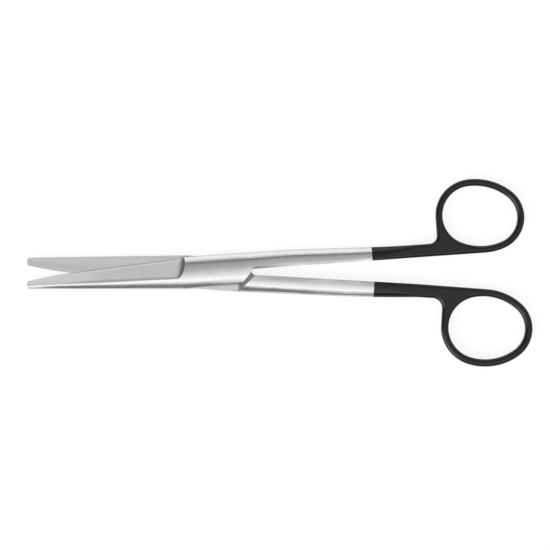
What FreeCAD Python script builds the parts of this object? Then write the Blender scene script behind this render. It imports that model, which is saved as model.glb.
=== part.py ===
import FreeCAD, Part
import PartDesign, Sketcher
import math
import os

from FreeCAD import Placement, Rotation, Vector

# Dissecting scissors with straight blades, 17 cm long closed, lying flat and slightly open.
#
# Each half is one forging: blade, joint plate, shank and finger ring. It is drawn in a frame of its
# own, as it stands with the scissors closed: X from the pivot to the ring, Y to the side of the half
# where its ring is, Z from the plane where the two halves meet to the half's own outer face. The
# lower half is turned over about X, and each half then swings to its place about the pivot axis.

SIZES = [
    ("rest_half_angle", 3.6, "each half's swing from closed as the scissors lie, degrees"),
    ("joint_thickness", 4.8, "both halves together at the pivot"),
    ("face_gap", 0.04, "running gap between the two inner faces"),
    ("inner_offset", 0.1, "each shank's inner side from the closing line"),
    # joint plate
    ("plate_back", 8.5, "start of the plate, towards the tips"),
    ("plate_front", 9.4, "corner where the plate's slant to the shank starts"),
    ("plate_slant_end", 14.1, "where the slant meets the shank's inner side"),
    ("plate_outer_back", 5.75, "half width on the side of the ring, at the back"),
    ("upper_plate_outer", 5.75, "half width on the side of the ring, at the front, upper half"),
    ("lower_plate_outer", 6.1, "half width on the side of the ring, at the front, lower half"),
    ("plate_spine_back", 5.15, "half width on the spine side, at the back"),
    ("plate_spine_front", 5.0, "half width on the spine side, at the front corner"),
    ("upper_plate_flat", 0.3, "half width of the flat on the upper half's domed plate"),
    ("lower_plate_flat", 3.3, "half width of the flat that the screw head sits in"),
    ("upper_plate_nose", 0.8, "rounding of the upper plate's ring side"),
    ("spine_nose_back", 1.3, "rounding of the upper plate's spine side, at the back"),
    ("spine_nose_front", 1.7, "rounding of the upper plate's spine side, at the front"),
    ("lower_plate_rim", 1.1, "height of the lower plate's side wall"),
    ("shoulder_gap", 0.5, "from one half's slant to the other's shoulder when closed"),
    ("shoulder_length", 6.0, "stock behind the slant that the shoulder is cut from"),
    # blade
    ("tip_reach", 62.0, "pivot to tip"),
    ("tip_spine", 1.35, "half width at the tip, spine side"),
    ("tip_stock", 2.6, "half width of the forging at the tip, edge side, before grinding"),
    ("tip_thickness", 1.07, "one blade at the tip"),
    ("tip_flat_inner", 0.3, "start of the rounded back at the tip"),
    ("tip_flat_outer", 0.6, "end of the flat at the tip, edge side"),
    ("tip_rim", 0.35, "height of the side wall at the tip"),
    ("tip_end_half", 0.5, "half length of the blunt end"),
    ("tip_round", 0.9, "rounding of the blunt end's two corners"),
    ("edge_root_reach", 12.0, "pivot to the root of the cutting edge"),
    ("edge_root", 5.05, "cutting edge from the centre line at its root"),
    ("kick_reach", 10.9, "pivot to where the edge's root turns out to the plate"),
    ("kick_end", 8.1, "pivot to where that turn is clear of the plate"),
    ("kick_over", 0.3, "how far it is clear of it"),
    ("belly_reach", 47.0, "pivot to where the edge starts to curve in"),
    ("belly", 2.95, "cutting edge from the centre line there"),
    ("edge_tip", 1.4, "cutting edge from the centre line where the tip rounds off"),
    ("bevel_angle", 16.0, "slope of the ground face, degrees"),
    ("bevel_base", 0.35, "thickness left at the cutting edge"),
    ("bevel_end", 10.5, "pivot to the end of the ground face, at the edge"),
    ("bevel_skew", 15.0, "turn of the grinding wheel's axis, degrees"),
    ("wheel_radius", 3.0, "hollow run-out that the wheel leaves"),
    ("edge_bevel", 0.25, "small bright bevel along the edge"),
    ("hollow_root_half", 3.9, "half width of the inner hollow at the root"),
    ("hollow_root_depth", 0.12, "depth of the inner hollow at the root"),
    ("hollow_tip_half", 0.8, "half width of the inner hollow at the tip"),
    ("hollow_tip_depth", 0.03, "depth of the inner hollow at the tip"),
    ("hollow_margin", 2.0, "unground length at each end of the hollow"),
    # shank
    ("upper_root_outer", 5.65, "outer side at the joint, upper half"),
    ("lower_root_outer", 6.05, "outer side at the joint, lower half"),
    ("shank_mid_reach", 32.0, "pivot to the shank's middle section"),
    ("upper_mid_outer", 5.5, "outer side there, upper half"),
    ("lower_mid_outer", 5.85, "outer side there, lower half"),
    ("shank_mid_thickness", 4.5, "thickness there"),
    ("shank_neck_reach", 54.0, "pivot to the section where the coating starts"),
    ("upper_neck_outer", 4.65, "outer side there, upper half"),
    ("lower_neck_outer", 5.35, "outer side there, lower half"),
    ("shank_neck_thickness", 4.1, "thickness there"),
    ("upper_root_crown", 0.1, "start of the shank's crown from its inner side, at the joint"),
    ("lower_root_crown", 1.5, "start of the shank's crown from its inner side, at the joint"),
    ("upper_crown", 0.6, "start of the crown farther on, upper half"),
    ("lower_crown", 1.5, "start of the crown farther on, lower half"),
    ("crown_width", 0.5, "width of the crown's flat"),
    ("upper_shank_nose", 0.8, "rounding of the shank's outer side, upper half"),
    ("lower_shank_nose", 1.6, "rounding of the shank's outer side, lower half"),
    ("upper_middle_fall", 0.04, "fall from the crown to the inner side at the middle, upper half"),
    ("lower_middle_fall", 0.13, "fall from the crown to the inner side at the middle, lower half"),
    ("neck_inner_fall", 0.2, "fall from the crown to the inner side where the coating starts"),
    # finger ring
    ("stub_length", 5.0, "even length of the shank before it turns into the ring"),
    ("upper_stub_outer", 4.42, "outer side there, upper half"),
    ("lower_stub_outer", 4.55, "outer side there, lower half"),
    ("ring_thickness", 3.8, "across the ring's bar"),
    ("upper_ring_bar", 2.35, "width of the ring's bar in plan"),
    ("lower_ring_bar", 2.5, "width of the ring's bar in plan"),
    ("upper_ring_lift", 0.0, "ring's inner side out from the shank's inner side"),
    ("lower_ring_lift", 0.4, "ring's inner side out from the shank's inner side"),
    ("ring_round", 1.1, "rounding of the ring's edges"),
    ("upper_ring_reach", 88.1, "pivot to the centre of the hole's near end, along the shank"),
    ("lower_ring_reach", 90.5, "pivot to the centre of the hole's near end, along the shank"),
    ("upper_ring_tilt", -11.0, "turn of the ring's long axis, degrees"),
    ("lower_ring_tilt", 0.0, "turn of the ring's long axis, degrees"),
    ("upper_hole_half", 10.0, "half width of the hole"),
    ("lower_hole_half", 10.52, "half width of the hole"),
    ("upper_near_radius", 9.72, "hole's end at the shank"),
    ("lower_near_radius", 10.32, "hole's end at the shank"),
    ("upper_side_radius", 17.8, "hole's long sides"),
    ("lower_side_radius", 16.75, "hole's long sides"),
    ("far_radius", 8.8, "hole's far end"),
    ("upper_crotch", 2.6, "rounding between shank and ring"),
    ("lower_crotch", 3.4, "rounding between shank and ring"),
    # pivot screw
    ("journal_radius", 1.65, "smooth part that the lower half turns on"),
    ("thread_radius", 1.45, "threaded end, as a plain cylinder"),
    ("head_radius", 2.7, "slotted head"),
    ("head_height", 1.05, "slotted head"),
    ("head_sink", 0.05, "head below the lower half's outer face"),
    ("running_clearance", 0.03, "journal in bore, and head in its counterbore, radial"),
    ("head_clearance", 0.02, "head over its seat, axial"),
    ("thread_clearance", 0.01, "threaded end in the upper half, radial"),
    ("screw_chamfer", 0.15, "broken corners of the screw"),
    ("slot_width", 0.8, "screwdriver slot"),
    ("slot_depth", 0.5, "screwdriver slot"),
    ("slot_turn", 25.0, "slot's turn from the long axis, degrees"),
]

CUT_REACH = 12.0


def make_sheet(doc):
    """The driving dimensions, one a row, each under its own alias."""
    sheet = doc.addObject("Spreadsheet::Sheet", "dims")
    for row, (alias, value, note) in enumerate(SIZES, start=1):
        sheet.set("A%d" % row, alias)
        sheet.set("B%d" % row, str(value))
        sheet.set("C%d" % row, note)
        sheet.setAlias("B%d" % row, alias)
    doc.recompute()
    return sheet


def dim(text):
    """An expression over the sheet, with each alias in braces."""
    return text.replace("{", "dims.").replace("}", "")


def value(sheet, text):
    """The number that an expression over the sheet gives."""
    return float(sheet.evalExpression(dim(text)))


def plane_of(body, role):
    return next(o for o in body.Origin.OriginFeatures if o.Role == role)


def new_sketch(body, name, role, height="0"):
    """A sketch on one of the body's origin planes, lifted off it by an expression."""
    sketch = body.newObject("Sketcher::SketchObject", name)
    sketch.AttachmentSupport = [(plane_of(body, role), "")]
    sketch.MapMode = "FlatFace"
    sketch.setExpression("AttachmentOffset.Base.z", dim(height))
    return sketch


def bind(sketch, kind, geometry, end, number, text):
    """Ties a point's distance from the sketch's origin to an expression."""
    at = sketch.addConstraint(Sketcher.Constraint(kind, -1, 1, geometry, end, number))
    sketch.setExpression("Constraints[%d]" % at, dim(text))


def ccw_arc(centre, start, end):
    """The arc that runs counter-clockwise from start to end."""
    first = math.atan2(start.y - centre.y, start.x - centre.x)
    last = math.atan2(end.y - centre.y, end.x - centre.x)
    if last <= first:
        last += 2 * math.pi
    circle = Part.Circle(centre, Vector(0, 0, 1), start.distanceToPoint(centre))
    return Part.ArcOfCircle(circle, first, last)


def tangent_centre(touch, along, through):
    """Centre of the circle that touches a line at one point and passes through another."""
    normal = Vector(-along.y, along.x, 0).normalize()
    chord = through - touch
    return touch + normal * (chord.Length ** 2 / (2 * normal.dot(chord)))


def radius_centre(start, end, radius, left):
    """Centre of the circle of that radius through two points, on the left of the way or not."""
    chord = end - start
    normal = Vector(-chord.y, chord.x, 0).normalize()
    rise = math.sqrt(radius ** 2 - (chord.Length / 2) ** 2)
    return (start + end) * 0.5 + normal * (rise if left else -rise)


def level_centre(start, end, x):
    """Centre at a given x of a circle through two points."""
    chord = end - start
    middle = (start + end) * 0.5
    return Vector(x, middle.y - chord.x * (x - middle.x) / chord.y, 0)


def draw(sketch, sheet, corners, arcs):
    """A closed outline through corners given as pairs of expressions.

    arcs maps the number of a side to what makes it an arc: ("tangent", N) touches side N where they
    meet, ("hollow", text) is a concave arc of that radius, and ("centre", x) is a convex arc with its
    centre at that x. Outlines run counter-clockwise.
    """
    points = [Vector(value(sheet, x), value(sheet, y), 0) for x, y in corners]
    count = len(points)
    ends = []
    for side in range(count):
        start, end = points[side], points[(side + 1) % count]
        rule = arcs.get(side)
        if rule is None:
            sketch.addGeometry(Part.LineSegment(start, end), False)
            ends.append((1, 2))
        elif rule[0] == "tangent":
            before = rule[1] == (side - 1) % count
            touch, other = (start, end) if before else (end, start)
            far = points[(side - 1) % count] if before else points[(side + 2) % count]
            centre = tangent_centre(touch, touch - far, other)
            sketch.addGeometry(ccw_arc(centre, start, end), False)
            ends.append((1, 2))
        elif rule[0] == "centre":
            centre = level_centre(start, end, value(sheet, rule[1]))
            sketch.addGeometry(ccw_arc(centre, start, end), False)
            ends.append((1, 2))
        else:
            centre = radius_centre(start, end, value(sheet, rule[1]), False)
            sketch.addGeometry(ccw_arc(centre, end, start), False)
            ends.append((2, 1))
    for side in range(count):
        after = (side + 1) % count
        rule, next_rule = arcs.get(side), arcs.get(after)
        touches = rule == ("tangent", after) or next_rule == ("tangent", side)
        kind = "Tangent" if touches else "Coincident"
        sketch.addConstraint(Sketcher.Constraint(kind, side, ends[side][1], after, ends[after][0]))
    for side, (x, y) in enumerate(corners):
        bind(sketch, "DistanceX", side, ends[side][0], points[side].x, x)
        bind(sketch, "DistanceY", side, ends[side][0], points[side].y, y)
    for side, rule in arcs.items():
        if rule[0] == "hollow":
            radius = value(sheet, rule[1])
            at = sketch.addConstraint(Sketcher.Constraint("Radius", side, radius))
            sketch.setExpression("Constraints[%d]" % at, dim(rule[1]))
        elif rule[0] == "centre":
            bind(sketch, "DistanceX", side, 3, value(sheet, rule[1]), rule[1])


def pad(body, name, sketch, length, symmetric=False, reverse=False):
    feature = body.newObject("PartDesign::Pad", name)
    feature.Profile = sketch
    feature.setExpression("Length", dim(length))
    feature.SideType = "Symmetric" if symmetric else "One side"
    feature.Reversed = reverse
    return feature


def pocket(body, name, sketch, length=None, symmetric=False, reverse=False):
    feature = body.newObject("PartDesign::Pocket", name)
    feature.Profile = sketch
    if length is None:
        feature.Type = "ThroughAll"
    else:
        feature.setExpression("Length", dim(length))
    feature.SideType = "Symmetric" if symmetric else "One side"
    feature.Reversed = reverse
    return feature


def loft(body, name, sketches, ruled, kind="AdditiveLoft"):
    feature = body.newObject("PartDesign::" + kind, name)
    feature.Profile = sketches[0]
    feature.Sections = sketches[1:]
    feature.Ruled = ruled
    return feature


def wall(side, rim, flat):
    """A straight side wall up to rim, then an arc that runs into the crown's flat."""
    return {"side": side, "rim": rim, "joint": side, "flat": flat, "centre": None}


def nose(side, radius, flat, height, sign):
    """A round side that runs smoothly into the arc up to the crown's flat.

    sign is 1 on the side of the ring and -1 on the spine side.
    """
    centre = "(%s - %d * (%s))" % (side, sign, radius)
    width = "(%d * ((%s) - %s))" % (sign, centre, flat)
    dome = "(((%s) ^ 2 + %s ^ 2 - (%s) ^ 2) / (2 * (%s - (%s))))" % (height, width, radius, height, radius)
    share = "((%s) / (%s - (%s)))" % (radius, dome, radius)
    return {
        "side": side,
        "rim": "%s * (%s - (%s))" % (share, dome, height),
        "joint": "%s + %d * %s * %s" % (centre, sign, share, width),
        "flat": flat,
        "centre": centre,
        "dome": dome,
    }


def section(body, sheet, name, reach, inner, outer, height, down=False):
    """A half section across the forging: flat base, sides, rounded flanks and the crown's flat.

    inner and outer are the two sides, as wall() or nose() gives them. down draws the section below
    the middle plane.
    """
    sketch = new_sketch(body, name, "YZ_Plane", reach)
    corners = [
        (inner["side"], "0"),
        (outer["side"], "0"),
        (outer["joint"], outer["rim"]),
        (outer["flat"], height),
        (inner["flat"], height),
        (inner["joint"], inner["rim"]),
    ]
    arcs = {2: ("tangent", 3), 4: ("tangent", 3)}
    if outer["centre"]:
        arcs[1] = ("centre", outer["centre"])
    if inner["centre"]:
        arcs[5] = ("centre", inner["centre"])
    if down:
        count = len(corners)
        flip = lambda side: (count - 2 - side) % count
        corners = [(x, "-(%s)" % y) for x, y in corners[::-1]]
        arcs = {flip(side): (kind, flip(of) if kind == "tangent" else of)
                for side, (kind, of) in arcs.items()}
    draw(sketch, sheet, corners, arcs)
    return sketch


HALF_JOINT = "({joint_thickness} / 2)"


def crown(half, place=""):
    """The two edges of the flat along the top of the shank."""
    start = "({inner_offset} + {%s_%scrown})" % (half, place)
    return start, "(%s + {crown_width})" % start


def root_sides(half):
    """The two flanks where plate and shank meet: the plate's whole one and the shank's outer one."""
    start, end = crown(half, "root_")
    spine = nose("-{plate_spine_front}", "{spine_nose_front}", start, HALF_JOINT, -1)
    outer = nose("{%s_root_outer}" % half, "{%s_shank_nose}" % half, end, HALF_JOINT, 1)
    return spine, outer


def root_section(body, sheet, name, half, down=False):
    """The section where the shank leaves the joint, its inner flank part of the plate's."""
    spine, outer = root_sides(half)
    start = crown(half, "root_")[0]
    rim = "%s - %s + sqrt(%s ^ 2 - (%s - {inner_offset}) ^ 2)" % (
        HALF_JOINT, spine["dome"], spine["dome"], start)
    inner = wall("{inner_offset}", rim, start)
    return section(body, sheet, name, "{plate_slant_end}", inner, outer, HALF_JOINT, down)


def side_shift(half):
    """From the centre of a ring's near end to that of its long side's arc, along the ring's axis."""
    low = "({%s_side_radius} - {%s_hole_half})" % (half, half)
    near = "({%s_side_radius} - {%s_near_radius})" % (half, half)
    return "sqrt(%s ^ 2 - %s ^ 2)" % (near, low), low


def ring_centre(half):
    """The centre of the ring's near end: its inner side runs on from the shank's inner side."""
    shift, low = side_shift(half)
    tilt = "({%s_ring_tilt} * 1 deg)" % half
    lowest = "(%s * sin(%s) + %s * cos(%s))" % (shift, tilt, low, tilt)
    rise = "({inner_offset} + {%s_ring_lift} + {%s_side_radius} + {%s_ring_bar})" % (half, half, half)
    return "{%s_ring_reach}" % half, "(%s - %s)" % (rise, lowest)


def ring_left(half):
    """Where the ring's outside is nearest to the joint."""
    return "({%s_ring_reach} - {%s_near_radius} - {%s_ring_bar})" % (half, half, half)


def stub_reach(half):
    """Where the shank's even end begins, before the rounding into the ring."""
    return "(%s - {%s_crotch} - {stub_length})" % (ring_left(half), half)


def oval(body, sheet, name, half, grow):
    """A finger hole's egg-shaped outline about the centre of its near end, grown by an expression."""
    shift, low = side_shift(half)
    far = "(%s + sqrt(({%s_side_radius} - {far_radius}) ^ 2 - %s ^ 2))" % (shift, half, low)
    radii = {
        "near": "{%s_near_radius} + %s" % (half, grow),
        "side": "{%s_side_radius} + %s" % (half, grow),
        "far": "{far_radius} + %s" % grow,
    }
    near_at = Vector(0, 0, 0)
    far_at = Vector(value(sheet, far), 0, 0)
    left_at = Vector(value(sheet, shift), -value(sheet, low), 0)
    right_at = Vector(left_at.x, -left_at.y, 0)
    side = value(sheet, radii["side"])
    reach = lambda centre, other: centre + (other - centre).normalize() * side
    # counter-clockwise: far end, the side away from the shank, near end, the side along the shank
    sketch = new_sketch(body, name, "XY_Plane")
    chain = [
        (far_at, reach(right_at, far_at), reach(left_at, far_at), "far"),
        (left_at, reach(left_at, far_at), reach(left_at, near_at), "side"),
        (near_at, reach(left_at, near_at), reach(right_at, near_at), "near"),
        (right_at, reach(right_at, near_at), reach(right_at, far_at), "side"),
    ]
    for centre, start, end, _ in chain:
        sketch.addGeometry(ccw_arc(centre, start, end), False)
    for at in range(len(chain)):
        sketch.addConstraint(Sketcher.Constraint("Tangent", at, 2, (at + 1) % len(chain), 1))
    for at, (_, _, _, which) in enumerate(chain):
        row = sketch.addConstraint(Sketcher.Constraint("Radius", at, value(sheet, radii[which])))
        sketch.setExpression("Constraints[%d]" % row, dim(radii[which]))
    for at, kind, text in (
        (2, "DistanceX", "0"), (2, "DistanceY", "0"),
        (1, "DistanceY", "-%s" % low), (3, "DistanceY", low),
    ):
        bind(sketch, kind, at, 3, value(sheet, text), text)
    for axis, text in zip("xy", ring_centre(half)):
        sketch.setExpression("AttachmentOffset.Base.%s" % axis, dim(text))
    sketch.setExpression("AttachmentOffset.Rotation.Angle", dim("{%s_ring_tilt}" % half))
    return sketch


def finger_ring(body, sheet, half):
    """The ring and the web at its root, with all its edges rounded."""
    outer = oval(body, sheet, "ring_outline", half, "{%s_ring_bar}" % half)
    pad(body, "ring_disc", outer, "{ring_thickness}", symmetric=True)
    web = new_sketch(body, "web_outline", "XY_Plane")
    stub = "{%s_stub_outer}" % half
    crotch = "{%s_crotch}" % half
    shift, low = side_shift(half)
    tilt = "({%s_ring_tilt} * 1 deg)" % half
    lowest = "({%s_ring_reach} + %s * cos(%s) - %s * sin(%s))" % (half, shift, tilt, low, tilt)
    left = ring_left(half)
    centre = ring_centre(half)
    corners = [
        (stub_reach(half), "{inner_offset}"),
        (lowest, "{inner_offset} + {%s_ring_lift}" % half),
        centre,
        (left, centre[1]),
        (left, stub + " + " + crotch),
        (left + " - " + crotch, stub),
        (stub_reach(half), stub),
    ]
    draw(web, sheet, corners, {4: ("hollow", crotch)})
    pad(body, "ring_web", web, "{ring_thickness}", symmetric=True)
    hole = oval(body, sheet, "hole_outline", half, "0")
    cut = pocket(body, "finger_hole", hole, symmetric=True)
    body.Document.recompute()
    top = value(sheet, "{ring_thickness} / 2")
    stub_at = value(sheet, stub_reach(half))
    names = []
    for number, edge in enumerate(cut.Shape.Edges, start=1):
        box = edge.BoundBox
        level = box.ZLength < 1e-6 and abs(abs(box.ZMin) - top) < 1e-6
        if level and not (box.XLength < 1e-6 and abs(box.XMin - stub_at) < 1e-6):
            names.append("Edge%d" % number)
    rounding = body.newObject("PartDesign::Fillet", "ring_rounding")
    rounding.Base = (cut, names)
    rounding.setExpression("Radius", dim("{ring_round}"))


def shank(body, sheet, half):
    """From the ring's root to the joint, its upper side lofted and its lower side the same."""
    start, end = crown(half)
    top = "({ring_thickness} / 2)"
    outer = "{%s_stub_outer}" % half
    rim = top + " - {ring_round}"
    stub = section(
        body, sheet, "stub_section", stub_reach(half),
        wall("{inner_offset}", rim, "({inner_offset} + {ring_round})"),
        wall(outer, rim, "(%s - {ring_round})" % outer), top,
    )
    sections = [stub]
    for name, reach, outer, thickness, fall in (
        ("neck", "{shank_neck_reach}", "{%s_neck_outer}" % half,
         "{shank_neck_thickness}", "{neck_inner_fall}"),
        ("middle", "{shank_mid_reach}", "{%s_mid_outer}" % half,
         "{shank_mid_thickness}", "{%s_middle_fall}" % half),
    ):
        top = "(%s / 2)" % thickness
        sections.append(section(
            body, sheet, name + "_section", reach,
            wall("{inner_offset}", "%s - %s" % (top, fall), start),
            nose(outer, "{%s_shank_nose}" % half, end, top, 1), top,
        ))
    sections.append(root_section(body, sheet, "root_section", half))
    side = loft(body, "shank_side", sections, ruled=False)
    mirrored = body.newObject("PartDesign::Mirrored", "shank_other_side")
    mirrored.Originals = [side]
    mirrored.MirrorPlane = (plane_of(body, "XY_Plane"), [""])
    body.Tip = mirrored


def plate_sides(half, place):
    """The two sides of the joint plate: domed and rounded above, with a wide flat below."""
    flat = "{%s_plate_flat}" % half
    spine = "-{plate_spine_%s}" % place
    outer = "{plate_outer_back}" if place == "back" else "{%s_plate_outer}" % half
    if half == "lower":
        return wall(spine, "{lower_plate_rim}", "-" + flat), wall(outer, "{lower_plate_rim}", flat)
    return (
        nose(spine, "{spine_nose_%s}" % place, "-" + flat, HALF_JOINT, -1),
        nose(outer, "{upper_plate_nose}", flat, HALF_JOINT, 1),
    )


def plate_and_blade(body, sheet, half):
    """The forged blank of joint plate and blade, and the slanted end that the shank leaves."""
    end = section(body, sheet, "plate_end_section", "{plate_slant_end}", *root_sides(half), HALF_JOINT)
    front = section(body, sheet, "plate_front_section", "{plate_front}",
                    *plate_sides(half, "front"), HALF_JOINT)
    back = section(body, sheet, "plate_back_section", "-{plate_back}",
                   *plate_sides(half, "back"), HALF_JOINT)
    tip = section(
        body, sheet, "tip_section", "-{tip_reach}",
        wall("-{tip_spine}", "{tip_rim}", "-{tip_flat_inner}"),
        wall("{tip_stock}", "{tip_rim}", "{tip_flat_outer}"), "{tip_thickness}",
    )
    loft(body, "plate_and_blade", [end, front, back, tip], ruled=True)
    slant = new_sketch(body, "slant_outline", "XY_Plane")
    run = "({plate_slant_end} - {plate_front})"
    rise = "({plate_spine_front} + {inner_offset})"
    corners = [
        ("{plate_slant_end} - 2 * %s" % run, "{inner_offset} - 2 * %s" % rise),
        ("{plate_slant_end} + {stub_length}", "{inner_offset} - 2 * %s" % rise),
        ("{plate_slant_end} + {stub_length}", "{inner_offset}"),
        ("{plate_slant_end}", "{inner_offset}"),
    ]
    draw(slant, sheet, corners, {})
    pocket(body, "slanted_end", slant, symmetric=True)


def shoulder(body, sheet, half):
    """Stock below the middle plane, then the lap that clears the other half's plate and blade."""
    stock = root_section(body, sheet, "shoulder_section", half, down=True)
    pad(body, "shoulder_stock", stock, "{shoulder_length}", reverse=True)
    lap = new_sketch(body, "lap_outline", "XY_Plane", "{face_gap} / 2")
    along = value(sheet, "{plate_slant_end} - {plate_front}")
    across = value(sheet, "{plate_spine_front} + {inner_offset}")
    lean = math.hypot(along, across)
    step_x, step_y = across / lean, along / lean
    shift_x = "%.9f * {shoulder_gap}" % step_x
    shift_y = "%.9f * {shoulder_gap}" % step_y
    slope = along / across
    far_x = "{plate_slant_end} + %s + %.9f * ({inner_offset} + %s + %s)" % (
        shift_x, slope, shift_y, CUT_REACH)
    near_x = "{plate_slant_end} + %s + %.9f * (%s - %s - {inner_offset})" % (
        shift_x, -slope, CUT_REACH, shift_y)
    corners = [
        (far_x, "-%s" % CUT_REACH),
        (near_x, "%s" % CUT_REACH),
        ("-{tip_reach} - %s" % CUT_REACH, "%s" % CUT_REACH),
        ("-{tip_reach} - %s" % CUT_REACH, "-%s" % CUT_REACH),
    ]
    draw(lap, sheet, corners, {})
    pocket(body, "lap", lap)


def grind_blade(body, sheet):
    """The edge line and blunt tip, the ground outer face with its run-out, and the inner hollow."""
    rise = value(sheet, "({edge_root} - {belly}) / ({belly_reach} - {edge_root_reach})")
    start = "{edge_root} + %.9f * ({edge_root_reach} - {kick_reach})" % rise
    outline = new_sketch(body, "edge_outline", "XY_Plane")
    corners = [
        ("-{kick_reach}", start),
        ("-{kick_end}", "{plate_outer_back} + {kick_over}"),
        ("-{kick_end}", "%s" % CUT_REACH),
        ("-{tip_reach} - %s" % CUT_REACH, "%s" % CUT_REACH),
        ("-{tip_reach} - %s" % CUT_REACH, "-%s" % CUT_REACH),
        ("-{tip_reach} + {tip_round}", "-%s" % CUT_REACH),
        ("-{tip_reach} + {tip_round}", "-{tip_end_half} - {tip_round}"),
        ("-{tip_reach}", "-{tip_end_half}"),
        ("-{tip_reach}", "{tip_end_half}"),
        ("-{tip_reach} + {tip_round}", "{edge_tip}"),
        ("-{belly_reach}", "{belly}"),
    ]
    arcs = {6: ("hollow", "{tip_round}"), 8: ("hollow", "{tip_round}"), 9: ("belly", 10)}
    draw_edge(outline, sheet, corners, arcs)
    pocket(body, "edge_and_tip", outline, symmetric=True)

    wheel = body.newObject("Sketcher::SketchObject", "bevel_profile")
    wheel.AttachmentSupport = [(plane_of(body, "XY_Plane"), "")]
    wheel.MapMode = "FlatFace"
    wheel.AttachmentOffset = bevel_placement(sheet, rise)
    radius = "{wheel_radius}"
    corners = [
        ("-{tip_reach} - %s" % CUT_REACH, "0"),
        ("0", "0"),
        (radius, radius),
        (radius, "%s" % CUT_REACH),
        ("-{tip_reach} - %s" % CUT_REACH, "%s" % CUT_REACH),
    ]
    draw(wheel, sheet, corners, {1: ("tangent", 0)})
    pocket(body, "bevel", wheel, "4 * %s" % CUT_REACH, symmetric=True)

    hollows = []
    for place, reach in (("root", "-{edge_root_reach} + {hollow_margin}"),
                         ("tip", "-{tip_reach} + {hollow_margin}")):
        side, depth = "{hollow_%s_half}" % place, "{hollow_%s_depth}" % place
        sketch = new_sketch(body, "hollow_%s_section" % place, "YZ_Plane", reach)
        draw_hollow(sketch, sheet, side, depth)
        hollows.append(sketch)
    loft(body, "inner_hollow", hollows, ruled=True, kind="SubtractiveLoft")


def draw_edge(sketch, sheet, corners, arcs):
    """The edge's outline: draw() with the belly as an arc that runs on from the straight edge."""
    belly = [side for side, rule in arcs.items() if rule[0] == "belly"][0]
    tip, start = (Vector(value(sheet, x), value(sheet, y), 0) for x, y in corners[belly:belly + 2])
    root = Vector(value(sheet, corners[0][0]), value(sheet, corners[0][1]), 0)
    radius = tangent_centre(start, start - root, tip).distanceToPoint(start)
    draw(sketch, sheet, corners, {**arcs, belly: ("hollow", "%.9f" % radius)})


def draw_hollow(sketch, sheet, side, depth):
    """A shallow circular segment over the inner face, closed off below it."""
    half, rise = value(sheet, side), value(sheet, depth)
    radius = (half ** 2 + rise ** 2) / (2 * rise)
    level = value(sheet, "{face_gap} / 2")
    centre = Vector(0, level + rise - radius, 0)
    left, right = Vector(-half, level, 0), Vector(half, level, 0)
    sketch.addGeometry(ccw_arc(centre, right, left), False)
    sketch.addGeometry(Part.LineSegment(left, right), False)
    sketch.addConstraint(Sketcher.Constraint("Coincident", 0, 2, 1, 1))
    sketch.addConstraint(Sketcher.Constraint("Coincident", 1, 2, 0, 1))
    bind(sketch, "DistanceX", 1, 1, -half, "-" + side)
    bind(sketch, "DistanceX", 1, 2, half, side)
    bind(sketch, "DistanceY", 1, 1, level, "{face_gap} / 2")
    bind(sketch, "DistanceY", 1, 2, level, "{face_gap} / 2")
    bind(sketch, "DistanceY", 0, 3, centre.y,
         "{face_gap} / 2 + %s - (%s ^ 2 + %s ^ 2) / (2 * %s)" % (depth, side, depth, depth))


def bevel_placement(sheet, rise):
    """Where the grinding wheel's profile stands: on the edge line, square to the wheel's axis."""
    angle = math.radians(value(sheet, "{bevel_angle}"))
    skew = math.radians(value(sheet, "{bevel_skew}"))
    along = Vector(1, -rise, 0).normalize()
    along.y = abs(along.y)
    flat = Vector(along.y, -along.x, 0)
    across = flat * math.cos(angle) + Vector(0, 0, math.sin(angle))
    axis = across * math.cos(skew) - along * math.sin(skew)
    forward = along * math.cos(skew) + across * math.sin(skew)
    normal = axis.cross(forward)
    end = value(sheet, "{bevel_end}")
    edge = value(sheet, "{edge_root} + ({edge_root_reach} - {bevel_end}) * %.9f" % rise)
    base = Vector(-end, edge, value(sheet, "{bevel_base} + {face_gap} / 2"))
    return Placement(base, Rotation(forward, normal, axis))


def edge_bevel(body, sheet):
    """The small bevel along the cutting edge, on the rim between the ground face and the edge."""
    doc = body.Document
    doc.recompute()
    base = body.Tip
    root = value(sheet, "{bevel_end}")
    tip = value(sheet, "{tip_reach} - {tip_round}")
    low = value(sheet, "{face_gap}")
    names = []
    for number, edge in enumerate(base.Shape.Edges, start=1):
        box = edge.BoundBox
        beyond = -tip - 0.1 < box.XMin and box.XMax < -root
        if beyond and box.YMin > value(sheet, "{edge_tip}") - 0.1 and box.ZMin > low and box.XLength > 5:
            names.append("Edge%d" % number)
    chamfer = body.newObject("PartDesign::Chamfer", "edge_bevel")
    chamfer.Base = (base, names)
    chamfer.setExpression("Size", dim("{edge_bevel}"))
    return names


def bore(body, sheet, name, radius, height=None, length=None):
    """A round hole on the pivot axis, through or from the outer face down."""
    sketch = new_sketch(body, name + "_circle", "XY_Plane", height or "0")
    sketch.addGeometry(Part.Circle(Vector(0, 0, 0), Vector(0, 0, 1), value(sheet, radius)), False)
    sketch.addConstraint(Sketcher.Constraint("Coincident", 0, 3, -1, 1))
    row = sketch.addConstraint(Sketcher.Constraint("Radius", 0, value(sheet, radius)))
    sketch.setExpression("Constraints[%d]" % row, dim(radius))
    return pocket(body, name, sketch, length, symmetric=length is None)


def make_half(doc, sheet, label, half):
    """One forged half, up to its pivot hole."""
    body = doc.addObject("PartDesign::Body", label)
    body.Label = label
    finger_ring(body, sheet, half)
    shank(body, sheet, half)
    plate_and_blade(body, sheet, half)
    shoulder(body, sheet, half)
    grind_blade(body, sheet)
    edge_bevel(body, sheet)
    return body


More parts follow.
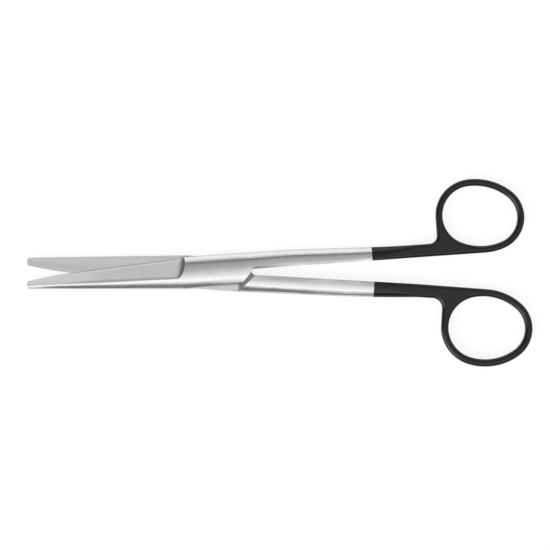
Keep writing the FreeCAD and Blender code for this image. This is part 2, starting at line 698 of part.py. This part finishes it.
def make_upper_half(doc, sheet):
    body = make_half(doc, sheet, "upper_half", "upper")
    bore(body, sheet, "threaded_hole", "{thread_radius} + {thread_clearance}")
    turn = Rotation(Vector(0, 0, 1), value(sheet, "{rest_half_angle}"))
    body.Placement = Placement(Vector(0, 0, value(sheet, "{joint_thickness} / 2")), turn)
    return body


def make_lower_half(doc, sheet):
    body = make_half(doc, sheet, "lower_half", "lower")
    bore(body, sheet, "journal_bore", "{journal_radius} + {running_clearance}")
    seat = "{head_sink} + {head_height} + {head_clearance}"
    bore(body, sheet, "head_seat", "{head_radius} + {running_clearance}",
         "{joint_thickness} / 2", seat)
    turn = Rotation(Vector(0, 0, 1), -value(sheet, "{rest_half_angle}"))
    over = Rotation(Vector(1, 0, 0), 180)
    height = Vector(0, 0, value(sheet, "{joint_thickness} / 2"))
    body.Placement = Placement(height, turn.multiply(over))
    return body


def make_pivot_screw(doc, sheet):
    """The screw: slotted head below, journal in the lower half, threaded end in the upper half."""
    body = doc.addObject("PartDesign::Body", "pivot_screw")
    body.Label = "pivot_screw"
    head_top = "{head_sink} + {head_height}"
    step = "({joint_thickness} + {face_gap}) / 2"
    end = "{joint_thickness}"
    broken = "{screw_chamfer}"
    corners = [
        ("0", "{head_sink}"),
        ("{head_radius} - " + broken, "{head_sink}"),
        ("{head_radius}", "{head_sink} + " + broken),
        ("{head_radius}", head_top),
        ("{journal_radius}", head_top),
        ("{journal_radius}", step),
        ("{thread_radius}", step),
        ("{thread_radius}", end),
        ("0", end),
    ]
    profile = new_sketch(body, "screw_profile", "XZ_Plane")
    draw(profile, sheet, corners, {})
    turned = body.newObject("PartDesign::Revolution", "screw_turned")
    turned.Profile = profile
    turned.ReferenceAxis = (profile, ["V_Axis"])
    turned.Angle = 360
    slot = new_sketch(body, "slot_outline", "XY_Plane", "{head_sink}")
    slot.setExpression("AttachmentOffset.Rotation.Angle", dim("{slot_turn}"))
    long_half, half = "{head_radius} + {slot_width}", "{slot_width} / 2"
    corners = [("-(%s)" % long_half, "-" + half), (long_half, "-" + half),
               (long_half, half), ("-(%s)" % long_half, half)]
    draw(slot, sheet, corners, {})
    pocket(body, "driver_slot", slot, "{slot_depth}", reverse=True)
    # the threaded end is ground flush with the upper plate's dome
    flush = new_sketch(body, "flush_outline", "YZ_Plane")
    flush.AttachmentOffset = Placement(Vector(0, 0, 0), Rotation(Vector(0, 1, 0), 3.6))
    flush.setExpression("AttachmentOffset.Rotation.Angle", dim("{rest_half_angle}"))
    domes = ["((%s + %s) / 2)" % (back["dome"], front["dome"])
             for back, front in zip(plate_sides("upper", "back"), plate_sides("upper", "front"))]
    flat = "{upper_plate_flat}"
    far = "(2 * {thread_radius})"
    falls = ["%s - %s + sqrt(%s ^ 2 - (%s - %s) ^ 2)" % (end, dome, dome, far, flat) for dome in domes]
    corners = [("-" + far, falls[0]), ("-" + flat, end), (flat, end), (far, falls[1]),
               (far, end + " + {head_height}"), ("-" + far, end + " + {head_height}")]
    draw(flush, sheet, corners, {0: ("hollow", domes[0]), 2: ("hollow", domes[1])})
    pocket(body, "flush_end", flush, symmetric=True)
    return body


def check(doc, bodies):
    """Stops on a failed feature or a sub-part that isn't one sound solid."""
    for thing in doc.Objects:
        if "Invalid" in thing.State or "Error" in thing.State:
            raise RuntimeError("%s (%s) failed: %s" % (thing.Name, thing.Label, thing.State))
    for body in bodies:
        shape = body.Shape
        if shape.isNull() or not shape.isValid() or len(shape.Solids) != 1:
            raise RuntimeError("%s is not one valid solid" % body.Label)


def main():
    doc = FreeCAD.newDocument("dissecting_scissors")
    sheet = make_sheet(doc)
    bodies = [make_lower_half(doc, sheet), make_upper_half(doc, sheet), make_pivot_screw(doc, sheet)]
    doc.recompute()
    check(doc, bodies)
    os.makedirs("parts", exist_ok=True)
    for body in bodies:
        body.Shape.exportStep("parts/%s.step" % body.Label)
        box = body.Shape.BoundBox
        print(body.Label, "volume %.1f mm3" % body.Shape.Volume,
              "x %.2f..%.2f y %.2f..%.2f z %.2f..%.2f"
              % (box.XMin, box.XMax, box.YMin, box.YMax, box.ZMin, box.ZMax))


main()
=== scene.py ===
import math

import bpy
from mathutils import Matrix, Vector

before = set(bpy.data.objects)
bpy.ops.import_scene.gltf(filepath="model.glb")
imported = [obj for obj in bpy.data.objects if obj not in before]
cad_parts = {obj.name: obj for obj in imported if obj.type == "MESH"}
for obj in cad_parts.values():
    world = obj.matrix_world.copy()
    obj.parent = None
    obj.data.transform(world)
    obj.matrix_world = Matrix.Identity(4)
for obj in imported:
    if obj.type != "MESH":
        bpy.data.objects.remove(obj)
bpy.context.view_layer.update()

MM = 0.001


def grey(level, blue=0.0):
    """A plain grey, with a little more blue where that is given."""
    return (level, level, level + blue, 1.0)


# How the scissors lie in the photograph: millimetres per pixel, the pivot's pixel, and the roll of
# the picture about the view, all of a straight look down. The camera's height and clip end are in
# metres, its sensor in millimetres.
SCALE = 0.336
PIVOT_PX = (212.0, 272.1)
FRAME_PX = 550.0
ROLL = math.radians(0.38)
CAMERA_HEIGHT = 0.9
SENSOR_WIDTH = 36.0
CLIP_END = 20.0

# The blade's ground face, as the part's source has it, in millimetres in a half's own frame. The
# cutting edge runs at y = EDGE_LEVEL + BEVEL_RISE * x, and the ridge between the ground face and
# the polished back at y = RIDGE_LEVEL - RIDGE_RISE * x.
REST_HALF_ANGLE = 3.6
MID_PLANE = 2.4
BEVEL_ANGLE = 16.0
BEVEL_SKEW = 15.0
BEVEL_RISE = 0.06
BEVEL_BASE = (-10.5, 5.14, 0.37)
WHEEL_RADIUS = 3.0
EDGE_LEVEL = 5.77
RIDGE_LEVEL = -1.82
RIDGE_RISE = 0.0227

# Where each finish or shade begins and ends, in the same frame. A pair is the place where it starts
# and the place where it is full. A set of four is two places, then the share that it has at each.
# GROUND_MISS is measured off the ground face, RUNOUT_REACH from the start of the run-out, RIDGE_Y
# from the ridge and RIM_Y from the cutting edge.
GROUND_MISS = (0.05, 0.09, 1.0, 0.0)
BLADE_X = (-7.3, -7.2, 1.0, 0.0)
INNER_Z = (0.17, 0.2, 1.0, 0.0)
TIP_X = (-59.0, -53.5, 0.9, 0.0)
# RUNOUT_REACH and RIDGE_* place painted shade, in RUNOUT_SHADE, in the run-out and along the ridge.
RUNOUT_REACH = (-0.4, 1.5)
RIDGE_Y = (0.2, 1.3, 0.45, 0.0)
RIDGE_X = (-54.0, -40.0, 0.2, 1.0)
# RIM_* place a painted highlight, in RIM_LIGHT, along the cutting edge and towards the tip.
RIM_Y = (-0.75, -0.45)
RIM_X = (-47.0, -34.0, 0.65, 0.0)
# RECESS_* place a painted shade in the gap beside the joint plate, and CORNER_* a painted shade
# along the upper shank's inner edge next to the joint. Both darken the steel towards STEEL_SHADE.
RECESS_Z = (0.1, 0.4, 1.0, 0.0)
RECESS_START = (8.6, 9.8)
RECESS_END = (15.5, 17.0, 1.0, 0.0)
CORNER_START = (13.4, 14.4)
CORNER_END = (15.0, 30.0, 0.9, 0.0)
CORNER_Y = (0.5, 1.1, 1.0, 0.0)
# The coating starts, and is full, at COAT_START plus the widths in COAT_EDGE. Its edge wanders
# towards the blade by up to COAT_RAGGED.
COAT_START = {"upper_half": 53.9, "lower_half": 54.5}
COAT_EDGE = (0.05, 0.25)
COAT_RAGGED = 0.3

# Colours of the finishes, and of the painted shades (STEEL_SHADE, RUNOUT_SHADE) and the painted
# highlight (RIM_LIGHT) laid over them.
STEEL_DARK = grey(0.53)
STEEL_LIGHT = grey(0.6)
STEEL_SHADE = (0.2, 0.195, 0.19, 1.0)
MATTE_DARK = grey(0.41, 0.005)
MATTE_LIGHT = grey(0.52, 0.005)
MATTE_GRAIN = grey(0.7, 0.005)
GROUND_DARK = grey(0.52, 0.005)
GROUND_LIGHT = grey(0.78, 0.005)
RIM_LIGHT = grey(0.82, 0.005)
RUNOUT_SHADE = grey(0.1)
COAT_DARK = grey(0.002, 0.0002)
COAT_LIGHT = grey(0.005, 0.0003)

# Patterns of the finishes: scale per millimetre, or stretch along a half's x, y and z. A bump has
# its strength and its height in metres. A noise lies mostly within NOISE_SPAN, and the two values
# of a roughness or tint belong to the ends of that span.
NOISE_SPAN = (0.3, 0.7)
STREAK_STRETCH = (0.12, 9.0, 9.0)
STREAK_BUMP = (0.06, 0.00002)
STREAK_ROUGHNESS = 0.1
CLOUD_SCALE = 0.35
CLOUD_ROUGHNESS = (0.11, 0.16)
RUB_STRETCH = (2.6, 0.5, 1.0)
RUB_TURN = (0.0, 0.0, math.radians(12.0))
GRAIN_SCALE = 14.0
GRAIN_TINT = (0.0, 0.2)
GRAIN_ROUGHNESS = (0.46, 0.58)
GRAIN_BUMP = (0.25, 0.00004)
RAGGED_SCALE = 1.4
MOTTLE_SCALE = 0.5
MOTTLE_ROUGHNESS = (0.14, 0.2)
RIPPLE_SCALE = 1.6
RIPPLE_BUMP = (0.12, 0.0001)
COAT_SPECULAR = 0.34
TURNING_SCALE = 14.0
TURNING_ROUGHNESS = (0.14, 0.22)
TURNING_BUMP = (0.08, 0.00002)

# The studio: radiance by the angle off the zenith, in degrees, along the frame's Y, and the same
# along its X. ROOM_TURN is the share of X in a direction where the first gives way to the second.
ROOM_Y = (
    (-90, 0.9), (-87, 0.3), (-52, 0.28), (-48, 0.75), (-43, 1.16), (-39, 1.5), (-35, 1.68),
    (-30, 1.77), (-26, 1.7), (-21, 1.5), (-12, 1.32), (-8, 1.25), (0, 1.07), (5, 0.95),
    (9.5, 0.75), (18, 0.68), (27, 0.64), (36, 0.53), (40, 0.36), (45, 0.16), (54, 0.91),
    (59, 1.3), (70, 1.6), (90, 1.2),
)
ROOM_X = (
    (-90, 0.7), (-65, 0.35), (-55, 0.2), (-20, 0.2), (-10, 0.8), (0, 1.07), (30, 0.9),
    (50, 0.6), (75, 0.9), (90, 1.0),
)
ROOM_TURN = (0.35, 0.95)
ROOM_SCALE = 2.0
NEAR_ZERO = 0.0001

# One round softbox: its angle off the zenith, bearing and radius in degrees, the cosine at which it
# is full, and its radiance.
LAMP_ZENITH = 50.0
LAMP_BEARING = 215.0
LAMP_RADIUS = 28.0
LAMP_CORE = 0.999
LAMP_LEVEL = 5.5

# The floor's size and its depth under the part, in metres, its colour to plain light, and its colour
# and glow to the camera and in reflections.
FLOOR_SIZE = 6.0
FLOOR_DROP = 0.00002
FLOOR_BOUNCE = 0.8
FLOOR_SHADE = 0.16
FLOOR_GLOW = 0.86


class Nodes:
    """Short calls for building a node tree."""

    def __init__(self, tree):
        self.tree = tree
        tree.nodes.clear()

    def add(self, kind, **settings):
        node = self.tree.nodes.new("ShaderNode" + kind)
        for key, setting in settings.items():
            setattr(node, key, setting)
        return node

    def put(self, socket, source):
        """Links a socket to another's output, or sets it to a plain value."""
        if hasattr(source, "node"):
            self.tree.links.new(source, socket)
        else:
            socket.default_value = source

    def math(self, operation, first, second=0.0):
        node = self.add("Math", operation=operation)
        self.put(node.inputs[0], first)
        self.put(node.inputs[1], second)
        return node.outputs[0]

    def product(self, first, *others):
        for other in others:
            first = self.math("MULTIPLY", first, other)
        return first

    def vector_math(self, operation, first, second):
        node = self.add("VectorMath", operation=operation)
        self.put(node.inputs[0], first)
        node.inputs[1].default_value = second
        return node

    def ramp(self, value, low, high, start=0.0, end=1.0):
        """start where value is at or below low, end at or above high, smooth between them."""
        node = self.add("MapRange", interpolation_type="SMOOTHSTEP")
        for socket, source in zip(node.inputs[:5], (value, low, high, start, end)):
            self.put(socket, source)
        return node.outputs[0]

    def noise(self, vector, scale=1.0, detail=2.0, roughness=0.5):
        node = self.add("TexNoise")
        self.put(node.inputs["Vector"], vector)
        node.inputs["Scale"].default_value = scale
        node.inputs["Detail"].default_value = detail
        node.inputs["Roughness"].default_value = roughness
        return node.outputs["Fac"]

    def stretch(self, vector, factors, turn=(0.0, 0.0, 0.0), shift=(0.0, 0.0, 0.0)):
        """The vector scaled, then turned, then shifted."""
        node = self.add("Mapping")
        self.put(node.inputs["Vector"], vector)
        node.inputs["Location"].default_value = shift
        node.inputs["Rotation"].default_value = turn
        node.inputs["Scale"].default_value = factors
        return node.outputs["Vector"]

    def split(self, vector):
        node = self.add("SeparateXYZ")
        self.put(node.inputs[0], vector)
        return [node.outputs[name] for name in "XYZ"]

    def mix(self, factor, first, second):
        node = self.add("Mix", data_type="RGBA")
        self.put(node.inputs["Factor"], factor)
        self.put(node.inputs["A"], first)
        self.put(node.inputs["B"], second)
        return node.outputs["Result"]

    def bump(self, pattern, strength, height):
        node = self.add("Bump")
        self.put(node.inputs["Height"], pattern)
        node.inputs["Strength"].default_value = strength
        node.inputs["Distance"].default_value = height
        return node.outputs["Normal"]

    def surface(self, color, roughness, normal, metallic=0.0):
        shader = self.add("BsdfPrincipled")
        shader.inputs["Metallic"].default_value = metallic
        self.put(shader.inputs["Base Color"], color)
        self.put(shader.inputs["Roughness"], roughness)
        self.put(shader.inputs["Normal"], normal)
        return shader

    def blend(self, factor, first, second):
        """Mixes two shaders."""
        node = self.add("MixShader")
        self.put(node.inputs[0], factor)
        self.put(node.inputs[1], first.outputs[0])
        self.put(node.inputs[2], second.outputs[0])
        return node

    def finish(self, kind, shader):
        output = self.add("Output" + kind)
        self.tree.links.new(shader.outputs[0], output.inputs["Surface"])


def new_material(name):
    material = bpy.data.materials.new(name)
    material.use_nodes = True
    return material, Nodes(material.node_tree)


def own_position(nodes, upper):
    """The surface point in millimetres in a half's own frame: x to its ring, y to its ring's side,
    z from the plane where the halves meet to the half's outer face."""
    coordinates = nodes.add("TexCoord")
    turn = math.radians(-REST_HALF_ANGLE if upper else REST_HALF_ANGLE)
    lying = nodes.stretch(coordinates.outputs["Object"], (1.0 / MM,) * 3, (0.0, 0.0, turn),
                          (0.0, 0.0, -MID_PLANE))
    side = 1.0 if upper else -1.0
    return nodes.stretch(lying, (1.0, side, side))


def along(nodes, point, base, direction):
    """Distance of the point from base, measured along a unit direction."""
    shifted = nodes.vector_math("SUBTRACT", point, base)
    return nodes.vector_math("DOT_PRODUCT", shifted.outputs[0], direction).outputs["Value"]


def ground_mask(nodes, point):
    """1 on the ground outer face of the blade and its run-out, and how far the point is past the
    start of the run-out, which is negative on the flat of the ground face."""
    slope, skew = math.radians(BEVEL_ANGLE), math.radians(BEVEL_SKEW)
    edge = Vector((1.0, BEVEL_RISE, 0.0)).normalized()
    flat = Vector((edge.y, -edge.x, 0.0))
    across = flat * math.cos(slope) + Vector((0.0, 0.0, math.sin(slope)))
    axis = across * math.cos(skew) - edge * math.sin(skew)
    forward = edge * math.cos(skew) + across * math.sin(skew)
    normal = axis.cross(forward)
    reach = along(nodes, point, BEVEL_BASE, forward)
    into = nodes.math("MAXIMUM", reach, 0.0)
    height = along(nodes, point, BEVEL_BASE, normal)
    inside = nodes.math("SUBTRACT", WHEEL_RADIUS ** 2, nodes.product(into, into))
    fall = nodes.math("SQRT", nodes.math("MAXIMUM", inside, 0.0))
    profile = nodes.math("SUBTRACT", WHEEL_RADIUS, fall)
    miss = nodes.math("ABSOLUTE", nodes.math("SUBTRACT", height, profile))
    return nodes.ramp(miss, *GROUND_MISS), reach


def polished_steel(nodes, point, x, y, z, upper):
    """Satin steel with fine lines along the half. Painted shade darkens it in the gap beside the
    joint plate and, on the upper half, along the shank's inner edge next to the joint.
    """
    # Painted shade: darker towards STEEL_SHADE in the gap beside the joint plate.
    painted_shade = nodes.product(nodes.ramp(nodes.math("ABSOLUTE", z), *RECESS_Z),
                           nodes.ramp(x, *RECESS_START), nodes.ramp(x, *RECESS_END))
    if upper:
        # Painted shade along the upper shank's inner edge next to the joint.
        painted_corner_shade = nodes.product(nodes.ramp(x, *CORNER_START), nodes.ramp(x, *CORNER_END),
                               nodes.ramp(y, *CORNER_Y))
        painted_shade = nodes.math("MAXIMUM", painted_shade, painted_corner_shade)
    streaks = nodes.noise(nodes.stretch(point, STREAK_STRETCH), detail=4.0, roughness=0.6)
    clouds = nodes.noise(point, CLOUD_SCALE, detail=3.0)
    color = nodes.mix(painted_shade, nodes.mix(streaks, STEEL_DARK, STEEL_LIGHT), STEEL_SHADE)
    roughness = nodes.math("ADD", nodes.product(streaks, STREAK_ROUGHNESS),
                           nodes.ramp(clouds, *NOISE_SPAN, *CLOUD_ROUGHNESS))
    return nodes.surface(color, roughness, nodes.bump(streaks, *STREAK_BUMP), metallic=1.0)


def matte_steel(nodes, point, x, y, inner, reach):
    """The blasted inner face and the cross-ground outer face. On the outer one, painted shade
    darkens the run-out and the ridge, and a painted highlight lightens the cutting edge and the part
    towards the tip."""
    outer = nodes.ramp(inner, 0.0, 1.0, 1.0, 0.0)
    # Painted shade in the run-out.
    painted_runout_shade = nodes.product(nodes.ramp(reach, *RUNOUT_REACH), outer)
    # Painted shade along the ridge, fading towards the tip.
    ridge_line = nodes.math("SUBTRACT", RIDGE_LEVEL, nodes.product(x, RIDGE_RISE))
    ridge = nodes.product(nodes.ramp(nodes.math("SUBTRACT", y, ridge_line), *RIDGE_Y), outer,
                          nodes.ramp(x, *RIDGE_X))
    # Painted highlight along the cutting edge and towards the tip.
    edge_line = nodes.math("ADD", nodes.product(x, BEVEL_RISE), EDGE_LEVEL)
    rim = nodes.math("MAXIMUM", nodes.ramp(nodes.math("SUBTRACT", y, edge_line), *RIM_Y),
                     nodes.ramp(x, *RIM_X))
    grains = nodes.noise(point, GRAIN_SCALE, roughness=0.7)
    rubs = nodes.noise(nodes.stretch(point, RUB_STRETCH, RUB_TURN), detail=4.0, roughness=0.65)
    color = nodes.mix(inner, nodes.mix(rubs, GROUND_DARK, GROUND_LIGHT),
                      nodes.mix(rubs, MATTE_DARK, MATTE_LIGHT))
    # Painted highlight on the outer face.
    color = nodes.mix(nodes.product(rim, outer), color, RIM_LIGHT)
    # Painted shade along the ridge and in the run-out.
    color = nodes.mix(ridge, color, RUNOUT_SHADE)
    color = nodes.mix(painted_runout_shade, color, RUNOUT_SHADE)
    color = nodes.mix(nodes.ramp(grains, *NOISE_SPAN, *GRAIN_TINT), color, MATTE_GRAIN)
    roughness = nodes.ramp(grains, *NOISE_SPAN, *GRAIN_ROUGHNESS)
    return nodes.surface(color, roughness, nodes.bump(grains, *GRAIN_BUMP), metallic=1.0)


def black_coat(nodes, point):
    """Smooth black coating, slightly uneven."""
    mottle = nodes.noise(point, MOTTLE_SCALE, detail=4.0, roughness=0.6)
    ripples = nodes.noise(point, RIPPLE_SCALE, detail=3.0)
    coat = nodes.surface(nodes.mix(mottle, COAT_DARK, COAT_LIGHT),
                         nodes.ramp(mottle, *NOISE_SPAN, *MOTTLE_ROUGHNESS),
                         nodes.bump(ripples, *RIPPLE_BUMP))
    coat.inputs["Specular IOR Level"].default_value = COAT_SPECULAR
    return coat


def half_material(name, half):
    """Satin-polished steel, matte on the ground and inner faces, black-coated at the handle."""
    material, nodes = new_material(name)
    upper = half == "upper_half"
    point = own_position(nodes, upper)
    x, y, z = nodes.split(point)
    start, full = (COAT_START[half] + width for width in COAT_EDGE)
    ragged = nodes.product(nodes.noise(point, RAGGED_SCALE, detail=3.0), COAT_RAGGED)
    coated = nodes.ramp(nodes.math("ADD", x, ragged), start, full)
    inner = nodes.ramp(z, *INNER_Z)
    ground, reach = ground_mask(nodes, point)
    matte = nodes.product(nodes.math("MAXIMUM", ground, inner), nodes.ramp(x, *BLADE_X))
    matte = nodes.math("MAXIMUM", matte, nodes.ramp(x, *TIP_X))
    steel = nodes.blend(matte, polished_steel(nodes, point, x, y, z, upper),
                        matte_steel(nodes, point, x, y, inner, reach))
    nodes.finish("Material", nodes.blend(coated, steel, black_coat(nodes, point)))
    return material


def screw_material():
    """Turned and polished steel, with fine rings about the pivot axis."""
    material, nodes = new_material("screw_steel")
    flat = nodes.stretch(own_position(nodes, True), (1.0, 1.0, 0.0))
    distance = nodes.add("VectorMath", operation="LENGTH")
    nodes.put(distance.inputs[0], flat)
    rings = nodes.add("TexNoise", noise_dimensions="1D")
    nodes.put(rings.inputs["W"], distance.outputs["Value"])
    rings.inputs["Scale"].default_value = TURNING_SCALE
    rings.inputs["Detail"].default_value = 3.0
    turning = rings.outputs["Fac"]
    steel = nodes.surface(nodes.mix(turning, STEEL_DARK, STEEL_LIGHT),
                          nodes.ramp(turning, *NOISE_SPAN, *TURNING_ROUGHNESS),
                          nodes.bump(turning, *TURNING_BUMP), metallic=1.0)
    nodes.finish("Material", steel)
    return material


def floor_material():
    """White to the camera and in reflections, a pale grey to all other light."""
    material, nodes = new_material("floor_white")
    path = nodes.add("LightPath")
    seen = nodes.math("MAXIMUM", path.outputs["Is Camera Ray"], path.outputs["Is Glossy Ray"])
    shader = nodes.add("BsdfDiffuse")
    nodes.put(shader.inputs["Color"], nodes.mix(seen, grey(FLOOR_BOUNCE), grey(FLOOR_SHADE)))
    glow = nodes.add("Emission")
    nodes.put(glow.inputs["Strength"], nodes.product(seen, FLOOR_GLOW))
    both = nodes.add("AddShader")
    nodes.put(both.inputs[0], shader.outputs[0])
    nodes.put(both.inputs[1], glow.outputs[0])
    nodes.finish("Material", both)
    return material


def dress(node, material):
    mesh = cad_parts[node].data
    mesh.materials.clear()
    mesh.materials.append(material)


def make_floor():
    bpy.ops.mesh.primitive_plane_add(size=FLOOR_SIZE, location=(0.0, 0.0, -FLOOR_DROP))
    floor = bpy.context.object
    floor.name = "floor"
    floor.data.materials.append(floor_material())


def room_profile(nodes, sideways, height, stops):
    """Radiance by the angle off the zenith in one upright plane, from pairs of angle and level."""
    ramp = nodes.add("ValToRGB")
    ramp.color_ramp.interpolation = "LINEAR"
    elements = ramp.color_ramp.elements
    while len(elements) < len(stops):
        elements.new(0.5)
    for element, (degrees, level) in zip(elements, stops):
        element.position = (degrees + 90.0) / 180.0
        element.color = grey(level / ROOM_SCALE)
    angle = nodes.math("ARCTAN2", sideways, height)
    share = nodes.math("DIVIDE", nodes.math("ADD", angle, math.pi / 2.0), math.pi)
    nodes.put(ramp.inputs["Fac"], share)
    return ramp.outputs["Color"]


def lamp_mask(nodes, direction):
    """1 in the middle of the softbox, falling smoothly to 0 at its rim."""
    away, bearing = math.radians(LAMP_ZENITH), math.radians(LAMP_BEARING)
    centre = (math.sin(away) * math.cos(bearing), math.sin(away) * math.sin(bearing), math.cos(away))
    facing = nodes.vector_math("DOT_PRODUCT", direction, centre).outputs["Value"]
    return nodes.ramp(facing, math.cos(math.radians(LAMP_RADIUS)), LAMP_CORE)


def make_world():
    """A white studio as a smooth function of direction, with one softbox."""
    world = bpy.data.worlds.new("studio")
    bpy.context.scene.world = world
    world.use_nodes = True
    nodes = Nodes(world.node_tree)
    direction = nodes.add("TexCoord").outputs["Generated"]
    x, y, z = nodes.split(direction)
    height = nodes.math("MAXIMUM", z, 0.0)
    along_y = room_profile(nodes, y, height, ROOM_Y)
    along_x = room_profile(nodes, x, height, ROOM_X)
    square_x, square_y = nodes.product(x, x), nodes.product(y, y)
    total = nodes.math("ADD", nodes.math("ADD", square_x, square_y), NEAR_ZERO)
    share_x = nodes.math("DIVIDE", square_x, total)
    room = nodes.mix(nodes.ramp(share_x, *ROOM_TURN), along_y, along_x)
    background = nodes.add("Background")
    light = nodes.mix(lamp_mask(nodes, direction), room, grey(LAMP_LEVEL / ROOM_SCALE))
    nodes.put(background.inputs["Color"], light)
    background.inputs["Strength"].default_value = ROOM_SCALE
    nodes.finish("World", background)


def make_camera():
    """Looks straight down, with the pivot at its pixel and the photograph's scale and roll."""
    data = bpy.data.cameras.new("camera")
    camera = bpy.data.objects.new("camera", data)
    bpy.context.scene.collection.objects.link(camera)
    half = SCALE * MM * FRAME_PX / 2.0
    data.sensor_width = SENSOR_WIDTH
    data.lens = CAMERA_HEIGHT * SENSOR_WIDTH / (2.0 * half)
    data.clip_end = CLIP_END
    right = (FRAME_PX / 2.0 - PIVOT_PX[0]) * SCALE * MM
    up = (PIVOT_PX[1] - FRAME_PX / 2.0) * SCALE * MM
    turn = Matrix.Rotation(-ROLL, 4, "Z")
    centre = turn @ Vector((right, up, 0.0))
    camera.matrix_world = Matrix.Translation(centre + Vector((0.0, 0.0, CAMERA_HEIGHT))) @ turn
    bpy.context.scene.camera = camera


dress("upper_half", half_material("upper_steel", "upper_half"))
dress("lower_half", half_material("lower_steel", "lower_half"))
dress("pivot_screw", screw_material())
make_floor()
make_world()
make_camera()

bpy.context.scene.view_settings.view_transform = "Standard"
